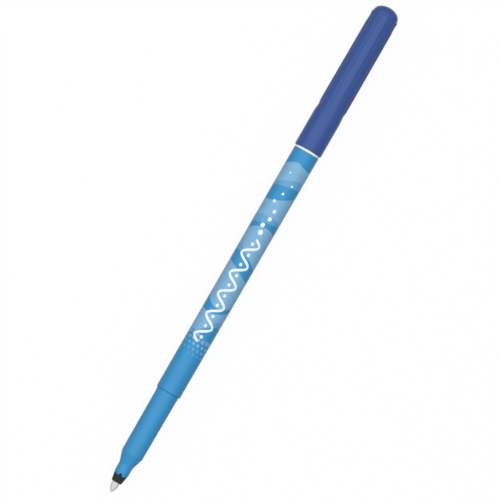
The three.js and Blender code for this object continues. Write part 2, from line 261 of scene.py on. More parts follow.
def grid_mesh(name, x, y, z, closed, uv_split):
    """A mesh of the grid of rows (along a profile) by columns (around the pen).

    Columns always join up. Rows join up where closed is true. Otherwise a first or last row
    that has shrunk to a point becomes one vertex with a fan. The UV map has two strips: the
    faces of the rows up to uv_split fill the outer one, and the others, on the inside, the
    inner one. In each strip u runs along the profile by length and v around the pen.
    """
    rows, columns = x.shape
    first = 0 if closed or np.ptp(z[0]) > TINY else 1
    last = rows if closed or np.ptp(z[-1]) > TINY else rows - 1
    body = slice(first, last)
    vertices = np.stack([x[body], y[body], z[body]], -1).reshape(-1, 3)
    count = last - first
    here = np.arange(count if closed else count - 1)
    ahead = (here + 1) % count
    j = np.arange(columns)
    k = (j + 1) % columns

    def corner(row, column):
        return row[:, None] * columns + column[None, :]

    quads = np.stack([corner(here, j), corner(ahead, j), corner(ahead, k), corner(here, k)], -1)
    faces = quads.reshape(-1, 4).tolist()

    steps = np.hypot(np.roll(x[:, 0], -1) - x[:, 0], np.roll(z[:, 0], -1) - z[:, 0])
    along = np.concatenate([[0], np.cumsum(steps)])
    outer, total = along[uv_split], along[rows if closed else rows - 1]

    def strip_uv(row, past, around):
        """UV of the corners of a row of faces, at its start or, past it, at its end."""
        inside = row >= uv_split
        reach = along[row + past]
        u = np.where(inside, (reach - outer) / max(total - outer, TINY), reach / outer)
        low, high = (np.where(inside, *ends) for ends in zip(INNER_STRIP, OUTER_STRIP))
        v = low[:, None] + (high - low)[:, None] * (around / columns)[None, :]
        return np.stack([np.broadcast_to(u[:, None], v.shape), v], -1)

    row = here + first
    sides = [strip_uv(row, past, j + turn) for past, turn in ((0, 0), (1, 0), (1, 1), (0, 1))]
    uv = np.stack(sides, -2).reshape(-1, 2)

    # Each fan: the row that is a point, the ring of corners next to it, and its row of faces
    fans = []
    if first:
        fans.append((0, 0, 0))
    if last < rows:
        fans.append((rows - 1, count - 1, rows - 2))
    for point, ring, face_row in fans:
        starts = point == 0
        tip = np.full(columns, len(vertices))
        vertices = np.vstack([vertices, [x[point, 0], y[point].mean(), z[point].mean()]])
        a, b = ring * columns + j, ring * columns + k
        faces += np.stack([tip, a, b] if starts else [b, a, tip], -1).tolist()
        face_row = np.array([face_row])
        at_tip = strip_uv(face_row, 0 if starts else 1, j)[0]
        at_a, at_b = (strip_uv(face_row, 1 if starts else 0, j + turn)[0] for turn in (0, 1))
        order = [at_tip, at_a, at_b] if starts else [at_b, at_a, at_tip]
        uv = np.vstack([uv, np.stack(order, 1).reshape(-1, 2)])

    piece = add_mesh(name, vertices, faces)
    layer = piece.data.uv_layers.new(name="OFBake")
    layer.uv.foreach_set("vector", uv.astype(np.float32).ravel())
    smooth(piece.data, 38)
    return piece


def turned(name, profile, angles, closed=True, shape=None, uv_split=None):
    """A profile carried round the pen's axis.

    A point of the profile at (s, r) goes to x = s, y = r sin(angle), z = axis + r cos(angle).
    shape, where given, changes the grids of s and r as a function of the angle. The profile's
    points from uv_split on, or else from the one farthest to the rear, are the inside.
    """
    station = np.repeat(profile[:, :1], len(angles), 1)
    radius = np.repeat(profile[:, 1:], len(angles), 1)
    if shape:
        station, radius = shape(station, radius, angles[None, :])
    y = radius * np.sin(angles)
    z = AXIS_HEIGHT + radius * np.cos(angles)
    split = uv_split if uv_split is not None else int(np.argmax(profile[:, 0]))
    return grid_mesh(name, station, y, z, closed, max(split, 1))


def crossed_walls(name, stations, reaches, thickness):
    """Two crossed walls through the axis: a plus-shaped outline carried along the pen.

    With h half the thickness and R the reach, a quarter of the outline has corners at (R, -h),
    (R, h) and (h, h), written as complex numbers, and powers of i turn it into the other
    three. The reach changes linearly from one station to the next.
    """
    half = np.full(len(reaches), thickness / 2)
    reach = np.asarray(reaches, float)
    quarter = np.stack([reach - 1j * half, reach + 1j * half, half + 1j * half])
    outline = np.concatenate([quarter * 1j**turn for turn in range(4)]).T
    rows, corners = outline.shape
    x = np.asarray(stations, float)[:, None] * np.ones(corners)
    vertices = np.stack([x, outline.real, AXIS_HEIGHT + outline.imag], -1).reshape(-1, 3)
    here = np.arange(rows - 1)[:, None] * corners
    ahead = here + corners
    j = np.arange(corners)
    k = (j + 1) % corners
    quads = np.stack([here + j, here + k, ahead + k, ahead + j], -1).reshape(-1, 4)
    front = list(range(corners - 1, -1, -1))
    back = list(range((rows - 1) * corners, rows * corners))
    piece = add_mesh(name, vertices, quads.tolist() + [front, back])
    piece.data.validate()
    return piece


def finish_piece(piece, material, slot, body, *nodes):
    """Gives a piece its finish, its body and the solids that it stands for."""
    piece.data.materials.clear()
    piece.data.materials.append(material)
    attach(piece, body)
    if nodes:
        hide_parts(*nodes)


# Material nodes

MATH = "ShaderNodeMath"
NOISE = "ShaderNodeTexNoise"


def node(tree, kind, inputs=(), **settings):
    """Adds a node with its settings, and sets or links its inputs.

    Inputs come in order, or by name or number. A node among them stands for its first output.
    """
    made = tree.nodes.new(kind)
    for key, value in settings.items():
        setattr(made, key, value)
    for key, value in inputs.items() if isinstance(inputs, dict) else enumerate(inputs):
        if isinstance(value, bpy.types.Node):
            value = value.outputs[0]
        if isinstance(value, bpy.types.NodeSocket):
            tree.links.new(value, made.inputs[key])
        else:
            made.inputs[key].default_value = value
    return made


def new_material(name):
    """An empty material: (material, tree, output node, object coordinates)."""
    material = bpy.data.materials.new(name)
    material.use_nodes = True
    tree = material.node_tree
    tree.nodes.clear()
    output = node(tree, "ShaderNodeOutputMaterial")
    return material, tree, output, node(tree, "ShaderNodeTexCoord").outputs["Object"]


def varied(tree, middle, *patterns):
    """A value that patterns from 0 to 1, each given with its swing, spread about a middle.

    It is the middle plus swing (pattern - 1/2) for each of them.
    """
    value = middle - sum(swing for _, swing in patterns) / 2
    for pattern, swing in patterns:
        value = node(tree, MATH, (pattern, swing, value), operation="MULTIPLY_ADD")
    return value


def shade(tree, output, colour, tone, roughness, relief, constants):
    """Ends a material in a Principled shader, whose colour is the given one times a tone.

    relief holds the inputs of the bump, and constants the shader's inputs that are the same all
    over the surface.
    """
    toned = node(tree, "ShaderNodeVectorMath", {0: colour, "Scale": tone}, operation="SCALE")
    bump = node(tree, "ShaderNodeBump", relief)
    inputs = {"Base Color": toned, "Roughness": roughness, "Normal": bump, **constants}
    shader = node(tree, "ShaderNodeBsdfPrincipled", inputs)
    tree.links.new(shader.outputs[0], output.inputs[0])


# Scales of the patterns that are drawn out along the pen, in grains per metre
FLOW_SCALE = (120, 2400, 2400)  # flow lines of 8.3 mm by 0.4 mm
BUNDLE_SCALE = (350, 10000, 10000)  # bundles of fibre of 2.9 mm by 0.1 mm


def moulded_plastic(name, base, roughness, shine, paint=None):
    """Injection-moulded polypropylene or the like, its colour from paint(tree, place) if given.

    It has a soft, slightly waxy gloss. The colour clouds by a few percent over 5 mm where the
    melt cooled unevenly, faint flow lines run along the piece, and the mould's fine spark
    texture of 0.12 mm, drawn as coarse as it needs to show, breaks up the highlight.
    """
    material, tree, output, place = new_material(name)
    drawn = node(tree, "ShaderNodeMapping", {"Vector": place, "Scale": FLOW_SCALE})
    cloud = node(tree, NOISE, {"Vector": place, "Scale": 1 / (5 * MM), "Detail": 3})
    flow = node(tree, NOISE, {"Vector": drawn, "Scale": 1, "Detail": 2})
    grain = node(tree, NOISE, {"Vector": place, "Scale": 1 / (0.12 * MM), "Detail": 2})
    tone = varied(tree, 1.0, (cloud, 0.1), (flow, 0.04))
    gloss = varied(tree, roughness, (grain, 0.1), (flow, 0.06))
    height = node(tree, MATH, (flow, 0.5, grain), operation="MULTIPLY_ADD")
    relief = {"Height": height, "Distance": 0.004 * MM, "Strength": 0.5}
    colour = paint(tree, place) if paint else base
    constants = {"IOR": 1.49, "Specular IOR Level": shine}
    shade(tree, output, colour, tone, gloss, relief, constants)
    return material


def pressed_fibre(name, base):
    """Polyester fibres pressed and bonded into a rod: matt, with fine streaks along it.

    The fibres are 0.03 mm thick and are drawn in bundles of 0.1 mm, which is as fine as shows.
    """
    material, tree, output, place = new_material(name)
    drawn = node(tree, "ShaderNodeMapping", {"Vector": place, "Scale": BUNDLE_SCALE})
    bundles = node(tree, NOISE, {"Vector": drawn, "Scale": 1, "Detail": 4})
    specks = node(tree, NOISE, {"Vector": place, "Scale": 1 / (0.25 * MM), "Detail": 2})
    tone = varied(tree, 0.98, (bundles, 0.3), (specks, 0.08))
    roughness = varied(tree, 0.88, (bundles, 0.12))
    relief = {"Height": bundles, "Distance": 0.02 * MM, "Strength": 0.7}
    constants = {"IOR": 1.5, "Specular IOR Level": 0.25, "Sheen Weight": 0.15}
    shade(tree, output, base, tone, roughness, relief, constants)
    return material


def screen_ink(name, base):
    """White screen-printing ink: opaque and satin.

    It has a fine orange peel of 0.15 mm, and its white clouds a little over 1.2 mm.
    """
    material, tree, output, place = new_material(name)
    peel = node(tree, NOISE, {"Vector": place, "Scale": 1 / (0.15 * MM), "Detail": 2})
    patch = node(tree, NOISE, {"Vector": place, "Scale": 1 / (1.2 * MM), "Detail": 2})
    tone = varied(tree, 0.99, (patch, 0.08))
    roughness = varied(tree, 0.42, (peel, 0.12))
    relief = {"Height": peel, "Distance": 0.004 * MM}
    shade(tree, output, base, tone, roughness, relief, {"IOR": 1.48})
    return material


# The barrel's print, with lengths along the barrel from its front
INK_EDGE = 0.04 * MM  # width over which the edge of an ink fades
FIELD_FRONT, FIELD_REAR = 19.5 * MM, 82.0 * MM  # middles of the pale field's two wavy ends
WEDGE_PITCH = 13.4 * MM
HALF_TONE = 0.45  # share of the ink that a half-toned wedge lacks
DOTS_AROUND = 16
DOT_RADIUS = 0.72 * MM  # at the field's end
DOT_FADE = 9 * MM  # length over which the dots shrink
SMALLEST_DOT = 0.12  # share of the full radius under which a dot is left out
SHADE_LINE_WIDTH = 0.2 * MM  # width of the fully dark part of the painted shadow line along the tube's front edge


def barrel_print(colours, tree, place):
    """The colour of the barrel: sky blue plastic with a pale pattern printed on it.

    With s the way along the barrel and the angle 0 on top, a pale field lies between two wavy
    ends, and a bare wedge cuts it in each pitch. In its pitch, in millimetres, wedge n starts at
    4 + 2.4 sin(angle + 0.5 + 1.9 n) and is 3.4 + 1.9 sin(angle + 2.7 n) long, and a half-toned
    wedge of 1.2 + 1.4 sin(angle + 2 + 1.3 n) follows where that is above 0. In front of the
    field stand dots on an even grid, with every other row shifted by half a step, and they
    shrink towards the tip.
    """
    x, y, z = node(tree, "ShaderNodeSeparateXYZ", (place,)).outputs
    s = node(tree, MATH, (x, BARREL_FRONT), operation="SUBTRACT")
    up = node(tree, MATH, (z, AXIS_HEIGHT), operation="SUBTRACT")
    angle = node(tree, MATH, (y, up), operation="ARCTAN2")
    pitches = node(tree, MATH, (s, WEDGE_PITCH), operation="DIVIDE")
    number = node(tree, MATH, (pitches,), operation="FLOOR")
    part = node(tree, MATH, (pitches,), operation="FRACT")
    local = node(tree, MATH, (part, WEDGE_PITCH), operation="MULTIPLY")

    def step(value, edge):
        """0 below the edge and 1 above it, over the width of an ink's edge."""
        past = node(tree, MATH, (value, edge), operation="SUBTRACT")
        return node(tree, MATH, (past, 1 / INK_EDGE, 0.5), operation="MULTIPLY_ADD", use_clamp=True)

    def wave(middle, reach, lead, by_number):
        """middle + reach sin(angle + lead + by_number n)"""
        turn = node(tree, MATH, (angle, lead), operation="ADD")
        turn = node(tree, MATH, (number, by_number, turn), operation="MULTIPLY_ADD")
        sine = node(tree, MATH, (turn,), operation="SINE")
        return node(tree, MATH, (sine, reach, middle), operation="MULTIPLY_ADD")

    front = wave(FIELD_FRONT, 2.0 * MM, 0.6, 0.0)
    rear = wave(FIELD_REAR, 1.6 * MM, 2.3, 0.0)
    cut = wave(4.0 * MM, 2.4 * MM, 0.5, 1.9)
    back = node(tree, MATH, (cut, wave(3.4 * MM, 1.9 * MM, 0.0, 2.7)), operation="ADD")
    tail = node(tree, MATH, (back, wave(1.2 * MM, 1.4 * MM, 2.0, 1.3)), operation="ADD")
    at_cut, at_back, at_tail = (step(local, edge) for edge in (cut, back, tail))
    bare = node(tree, MATH, (at_cut, at_back), operation="SUBTRACT")
    half = node(tree, MATH, (at_back, at_tail), operation="SUBTRACT", use_clamp=True)
    cover = node(tree, MATH, (1.0, bare), operation="SUBTRACT")
    cover = node(tree, MATH, (half, -HALF_TONE, cover), operation="MULTIPLY_ADD")
    inside = node(tree, MATH, (step(s, front), step(rear, s)), operation="MULTIPLY")
    field = node(tree, MATH, (inside, cover), operation="MULTIPLY")

    # The dots: the distance to the middle of the cell of the grid, against a dot's radius
    pitch = math.tau * BARREL_RADIUS / DOTS_AROUND
    row = node(tree, MATH, (s, pitch), operation="DIVIDE")
    whole = node(tree, MATH, (row,), operation="FLOOR")
    odd = node(tree, MATH, (whole, 2.0), operation="MODULO")
    around = node(tree, MATH, (angle, DOTS_AROUND / math.tau), operation="MULTIPLY")
    column = node(tree, MATH, (odd, 0.5, around), operation="MULTIPLY_ADD")
    cell = node(tree, "ShaderNodeCombineXYZ", (row, column))
    cell = node(tree, "ShaderNodeVectorMath", (cell,), operation="FRACTION")
    offset = node(tree, "ShaderNodeVectorMath", (cell, (0.5, 0.5, 0)), operation="SUBTRACT")
    offset = node(tree, "ShaderNodeVectorMath", (offset,), operation="LENGTH").outputs["Value"]
    distance = node(tree, MATH, (offset, pitch), operation="MULTIPLY")
    past = node(tree, MATH, (s, front), operation="SUBTRACT")
    share = node(tree, MATH, (past, 1 / DOT_FADE, 1.0), operation="MULTIPLY_ADD", use_clamp=True)
    radius = node(tree, MATH, (share, DOT_RADIUS), operation="MULTIPLY")
    dots = node(tree, MATH, (share, SMALLEST_DOT), operation="GREATER_THAN")
    for mask in (step(radius, distance), step(front, s)):
        dots = node(tree, MATH, (dots, mask), operation="MULTIPLY")
    ink = node(tree, MATH, (field, dots), operation="MAXIMUM")

    # Painted shade: the tube's front edge is painted darker over twice that width, a painted shadow
    # line where the barrel steps up from the section.
    clear = node(tree, MATH, (s, 1 / SHADE_LINE_WIDTH, -1.0), operation="MULTIPLY_ADD", use_clamp=True)
    tone = node(tree, MATH, (clear, 0.35, 0.65), operation="MULTIPLY_ADD")
    plastic = node(tree, "ShaderNodeVectorMath", {0: colours.sky, "Scale": tone}, operation="SCALE")

    # The film of ink is thin, so it lets a little of the plastic through in patches of 1.5 mm.
    patch = node(tree, NOISE, {"Vector": place, "Scale": 1 / (1.5 * MM), "Detail": 3})
    film = node(tree, MATH, (patch, 0.24, 0.8), operation="MULTIPLY_ADD", use_clamp=True)
    share = node(tree, MATH, (ink, film), operation="MULTIPLY")
    inputs = {0: share, 6: plastic, 7: (*colours.pale_ink, 1.0)}
    return node(tree, "ShaderNodeMix", inputs, data_type="RGBA").outputs[2]


# Pieces


def add_nib(sizes, colours):
    """The bare point, swelling like a bullet: r = tip + (R - tip) sin(pi/2 share)^0.75.

    Fine flutes, the sum of three cosines of the angle, stand for the bundles of fibre.
    """
    tip = 0.15 * MM
    tip_depth = 0.05 * MM
    swell = 0.85 * (COLLAR_FRONT - NIB_TIP)
    share = np.linspace(0, 1, 40) ** 1.6
    radius = tip + (NIB_RADIUS - tip) * np.sin(share * math.pi / 2) ** 0.75
    bullet = np.column_stack([NIB_TIP + tip_depth + share * (swell - tip_depth), radius])
    turn = np.linspace(0, math.pi / 2, 6)[:-1]
    round_tip = np.column_stack([NIB_TIP + tip_depth * (1 - np.cos(turn)), tip * np.sin(turn)])
    tail = rounded(
        (NIB_END - 1.6 * MM, NIB_RADIUS, 0.2 * MM),
        (NIB_END, 0.5 * MM, 0.1 * MM),
        (NIB_END, 0.0),
    )
    profile = with_rows(np.vstack([round_tip, bullet, tail]), NIB_TIP, NIB_END, 1.0 * MM)

    def flutes(s, r, angle):
        """Flutes that grow over the first 1.2 mm and leave the very tip and the end smooth."""
        waves = np.cos(31 * angle + 1.0) + 0.7 * np.cos(53 * angle)
        waves = waves + 0.5 * np.cos(17 * angle + 2.0)
        depth = 0.005 * MM * np.clip((s - NIB_TIP) / (1.2 * MM), 0, 1)
        return s, r + depth * waves * (r > 0.3 * MM)

    piece = turned("fibre_nib", profile, even_angles(sizes.columns), closed=False, shape=flutes)
    fibre = pressed_fibre("pressed_polyester_fibre", colours.nib)
    finish_piece(piece, fibre, "nib_fibre", PEN, "nib")


def add_collar(sizes, colours):
    """The black holder of the nib: a cone, and a shank with air grooves."""
    front_radius = 1.71 * MM
    bore = NIB_RADIUS + PRESS_GAP
    cone_back = SECTION_FRONT - FACE_GAP
    profile = rounded(
        (COLLAR_FRONT, bore + 0.02 * MM),
        (COLLAR_FRONT, front_radius, 0.1 * MM),
        (cone_back, COLLAR_RADIUS, 0.05 * MM),
        (cone_back, COLLAR_SHANK_RADIUS),
        (COLLAR_END, COLLAR_SHANK_RADIUS, 0.08 * MM),
        (COLLAR_END, bore),
    )
    profile = with_rows(profile, cone_back, COLLAR_END, 0.5 * MM)
    half_width, flank, depth = 0.25 * MM, 0.06 * MM, 0.22 * MM

    def grooves(s, r, angle):
        """Grooves in the shank, at the places of the section's notches."""
        across = off_centre(angle, AIR_WAYS) * r
        groove = np.clip((half_width + flank / 2 - across) / flank, 0, 1)
        on = (s > cone_back + 0.01 * MM) & (r > bore + 0.2 * MM)
        return s, r - depth * groove * on

    angles = even_angles(sizes.columns)
    piece = turned("nib_holder", profile, angles, shape=grooves, uv_split=len(profile) - 1)
    plastic = moulded_plastic("moulded_black_acetal", colours.collar, 0.45, 0.06)
    finish_piece(piece, plastic, "collar_black", PEN, "nib_collar")


def add_section(sizes, colours):
    """The sky blue front: nose with air notches, neck, cone, grip, land and spigot."""
    front = SECTION_FRONT
    neck = front + sizes.nose_length
    cone = neck + sizes.neck_length
    grip = cone + sizes.cone_length
    land = BARREL_FRONT - sizes.land_length
    spigot = BARREL_FRONT + LAND_POCKET - FACE_GAP
    relief, relief_end = spigot + 3.4 * MM, spigot + 5.0 * MM
    relief_radius = BARREL_FIT - 0.2 * MM
    bore = BARREL_FIT - 0.52 * MM
    nose_bore = COLLAR_SHANK_RADIUS + PRESS_GAP
    profile = rounded(
        (front, COLLAR_RADIUS, 0.05 * MM),
        (neck, sizes.neck_radius, 0.3 * MM),
        (cone, sizes.neck_radius, 0.4 * MM),
        (grip, sizes.grip_front_radius, 0.4 * MM),
        (land, sizes.grip_back_radius, 0.03 * MM),
        (land + 0.12 * MM, LAND_RADIUS, 0.04 * MM),
        (spigot, LAND_RADIUS, 0.05 * MM),
        (spigot, BARREL_FIT),
        (relief, BARREL_FIT),
        (relief, relief_radius),
        (relief_end, relief_radius),
        (relief_end, BARREL_FIT),
        (SECTION_END, BARREL_FIT, 0.2 * MM),
        (SECTION_END, bore, 0.1 * MM),
        (front + 8.35 * MM, bore),
        (front + 4.55 * MM, nose_bore),
        (front, nose_bore),
    )
    profile = with_rows(profile, front, neck, 0.08 * MM)
    half = sizes.notch_width / 2

    def notches(s, r, angle):
        """Round notches in the rim, as deep as depth sqrt(1 - (y / half width)^2)."""
        across = off_centre(angle, AIR_WAYS) * COLLAR_RADIUS
        cut = sizes.notch_depth * np.sqrt(np.clip(1 - (across / half) ** 2, 0, 1))
        fade = np.clip(1 - (s - front) / (sizes.nose_length - 0.05 * MM), 0, 1)
        return s + cut * fade, r

    piece = turned("grip_and_nose", profile, even_angles(2 * sizes.columns), shape=notches)
    plastic = moulded_plastic("moulded_sky_polypropylene", colours.sky, 0.45, 0.26)
    finish_piece(piece, plastic, "section_blue", PEN, "grip_section")


def add_barrel(sizes, colours):
    """The printed tube, with ribs inside that carry the reservoir."""
    pocket = LAND_RADIUS + PRESS_GAP
    profile = rounded(
        (BARREL_FRONT, BARREL_RADIUS, 0.2 * MM),
        (BARREL_END, BARREL_REAR_RADIUS, 0.12 * MM),
        (BARREL_END, BARREL_BORE, 0.05 * MM),
        (BARREL_FRONT + LAND_POCKET, BARREL_BORE),
        (BARREL_FRONT + LAND_POCKET, pocket),
        (BARREL_FRONT, pocket, 0.02 * MM),
    )
    rib_front, rib_end = SECTION_END + 1.2 * MM, PLUG_FRONT - 1.2 * MM
    run_out = 0.1 * MM
    crests = [rib_end + run_out, rib_end, rib_front, rib_front - run_out]
    last_inside = int(np.flatnonzero(profile[:, 1] == BARREL_BORE)[-1])
    profile = np.insert(profile, last_inside, [[s, BARREL_BORE] for s in crests], 0)
    half_width, flank, depth = 0.28 * MM, 0.08 * MM, 0.56 * MM

    def ribs(s, r, angle):
        """Ribs that stand inwards from the bore."""
        across = off_centre(angle, BARREL_RIBS) * BARREL_BORE
        rib = np.clip((half_width + flank / 2 - across) / flank, 0, 1)
        on = (np.abs(r - BARREL_BORE) < TINY) & (s >= rib_front) & (s <= rib_end)
        return s, r - depth * rib * on

    piece = turned("printed_barrel", profile, even_angles(sizes.columns), shape=ribs)
    paint = partial(barrel_print, colours)
    name = "moulded_polypropylene_with_pale_print"
    plastic = moulded_plastic(name, colours.sky, 0.3, 0.18, paint)
    finish_piece(piece, plastic, "barrel_blue", PEN, "barrel")


def stroke_mesh(strokes, lift, root):
    """Round-ended strokes of ink, each (path, width), wrapped on the barrel.

    A path gives (s, w) along the barrel and around it. Across the stroke, at share q from -1 to
    1 of its half width h, the ink stands at lift (1 - q^4) over the barrel, and closes under
    its surface, root deep. Near an end, at a distance d, the half width is
    h sqrt(1 - (1 - d/h)^2).
    """
    q = np.concatenate([np.linspace(-1, 1, 9), [0.0]])
    ring = len(q)
    below = np.arange(ring) == ring - 1  # the last corner of each ring closes it from below
    vertices, faces = [], []
    base = 0

    def point(path, length, where):
        """The points of a path at lengths along it."""
        return np.column_stack([np.interp(where, length, path[:, i]) for i in (0, 1)])

    for path, width in strokes:
        steps = np.diff(path, axis=0)
        length = np.concatenate([[0], np.cumsum(np.linalg.norm(steps, axis=1))])
        full = length[-1]
        h = width / 2
        ends_at = np.linspace(0, 1, 8)[:-1] ** 2 * h
        even = np.linspace(h, full - h, max(2, int((full - 2 * h) / (0.12 * MM))))
        at = np.concatenate([ends_at, even, (full - ends_at)[::-1]])
        way = point(path, length, at + 0.05 * MM) - point(path, length, at - 0.05 * MM)
        way /= np.linalg.norm(way, axis=1)[:, None]
        side = np.column_stack([-way[:, 1], way[:, 0]])
        d = np.minimum(np.minimum(at, full - at), h)
        half = (h * np.sqrt(np.clip(1 - (1 - d / h) ** 2, 0, 1)) + 0.002 * MM)[:, None]
        spot = point(path, length, at)
        s = spot[:, :1] + side[:, :1] * half * q
        w = spot[:, 1:] + side[:, 1:] * half * q
        top = lift * (1 - q**4) * np.minimum(half / h * 1.5, 1)
        share = (s - BARREL_FRONT) / (BARREL_END - BARREL_FRONT)
        surface = BARREL_RADIUS + (BARREL_REAR_RADIUS - BARREL_RADIUS) * share
        r = surface + np.where(below, -root, top - root * (np.abs(q) == 1))
        angle = w / BARREL_RADIUS
        points = np.stack([s, r * np.sin(angle), AXIS_HEIGHT + r * np.cos(angle)], -1)
        rows = len(at)
        here = base + np.arange(rows - 1)[:, None] * ring
        ahead = here + ring
        j = np.arange(ring)
        k = (j + 1) % ring
        quads = np.stack([here + j, ahead + j, ahead + k, here + k], -1).reshape(-1, 4)
        front = list(range(base, base + ring))
        back = list(range(base + rows * ring - 1, base + (rows - 1) * ring - 1, -1))
        vertices.append(points.reshape(-1, 3))
        faces += quads.tolist() + [front, back]
        base += rows * ring
    return np.vstack(vertices), faces


def add_marks(sizes, colours):
    """White marks on the barrel: a wave with a spot in each bend, and a tail of spots.

    The wave is w = height/2 sin(2 pi t) at s = start + length t. Behind it, spot n of the tail
    stands 2.3 n + 0.1 n^2 mm further on and swings to w = (0.4 + 0.2 n) sin(1.9 n) mm.
    """
    start = BARREL_FRONT + 18.5 * MM
    turns, tail_spots = 5, 8
    t = np.linspace(0, turns, 600)
    across = sizes.wave_height / 2 * np.sin(2 * math.pi * t)
    strokes = [(np.column_stack([start + sizes.wave_length * t, across]), sizes.stroke)]

    def spot(s, w, radius):
        """A round spot: a stroke that is hardly longer than it is wide."""
        return np.array([[s - 1.01 * radius, w], [s + 1.01 * radius, w]]), 2 * radius

    for i in range(2 * turns):
        bend = start + sizes.wave_length * (0.25 + 0.5 * i)
        strokes.append(spot(bend, -((-1) ** i) * 0.3 * MM, 0.55 * MM))
    behind = start + sizes.wave_length * (turns + 0.35)
    for i in range(tail_spots):
        radius = (0.85 - 0.08 * i) * MM
        side = math.sin(1.9 * i) * (0.4 + 0.2 * i) * MM
        strokes.append(spot(behind + (2.3 * i + 0.1 * i * i) * MM, side, radius))
    piece = add_mesh("white_marks", *stroke_mesh(strokes, sizes.ink_height, 0.01 * MM))
    smooth(piece.data, 50)
    finish_piece(piece, screen_ink("white_screen_ink", colours.white_ink), "barrel_blue", PEN)


def add_plug(sizes, colours):
    """The white rear plug: shank, flange ring, and the stub that carries the cap."""
    wall = 0.85 * MM
    web_reach = 1.6 * MM  # how far the webs stand out of the shank
    overlap = 0.4 * MM  # of the webs with the walls that carry them
    hollow = BARREL_FIT - wall
    shank_front = PLUG_FRONT + web_reach
    flange_front = BARREL_END + FACE_GAP
    flange_end = CAP_RIM - FACE_GAP
    stub = CAP_GRIP_RADIUS - 0.05 * MM
    floor = PLUG_END - wall
    profile = rounded(
        (shank_front, BARREL_FIT - 0.25 * MM),
        (shank_front + 0.5 * MM, BARREL_FIT),
        (flange_front, BARREL_FIT),
        (flange_front, FLANGE_RADIUS, 0.04 * MM),
        (flange_end, FLANGE_RADIUS, 0.04 * MM),
        (flange_end, stub),
        (PLUG_END, stub - 0.06 * MM, 0.8 * MM),
        (PLUG_END, POLE_RADIUS),
        (floor, POLE_RADIUS),
        (floor, hollow, 0.4 * MM),
        (shank_front, hollow),
        steps=8,
    )
    on_axis = int(np.argmin(profile[:, 1]))
    piece = turned("rear_plug", profile, even_angles(sizes.columns), uv_split=on_axis)
    plastic = moulded_plastic("moulded_white_polypropylene", colours.plug, 0.42, 0.2)
    finish_piece(piece, plastic, "plug_white", PEN, "end_plug")
    reaches = [hollow + overlap] * 2
    webs = crossed_walls("rear_plug_webs", [PLUG_FRONT, floor + overlap], reaches, 0.7 * MM)
    finish_piece(webs, plastic, "plug_white", PEN)


def rib_angles():
    """Angles around the cap, closest together at the sides of its ribs, 13 to 17 degrees off."""
    middle = 180 / CAP_RIBS  # of the valley between two ribs
    steps = (np.linspace(0, 13, 7), np.linspace(13.4, 16.9, 15), np.linspace(17.6, middle, 12))
    half = np.radians(np.concatenate(steps))
    part = 2 * math.pi / CAP_RIBS
    whole = np.concatenate([half, part - half[-2:0:-1]])
    return np.concatenate([whole + i * part for i in range(CAP_RIBS)])


# How deep a rib's top lies under the cap's full radius, as (place, depth) in millimetres: from
# the waist on, where the rib rises, and up to the rib's end, with the dip and the ear
RIB_START = ((0, 0.19), (0.3, 0.16), (0.8, 0.09), (1.4, 0.03), (1.9, 0.02))
RIB_DIP = ((-4.1, 0.09), (-3.5, 0.13), (-2.8, 0.19), (-2.0, 0.22))
RIB_EAR = ((-1.3, 0.22), (-0.8, 0.18), (-0.4, 0.13), (0, 0.12))
RIB_SIDE = 0.24 * MM  # width over which the sides of a rib rise


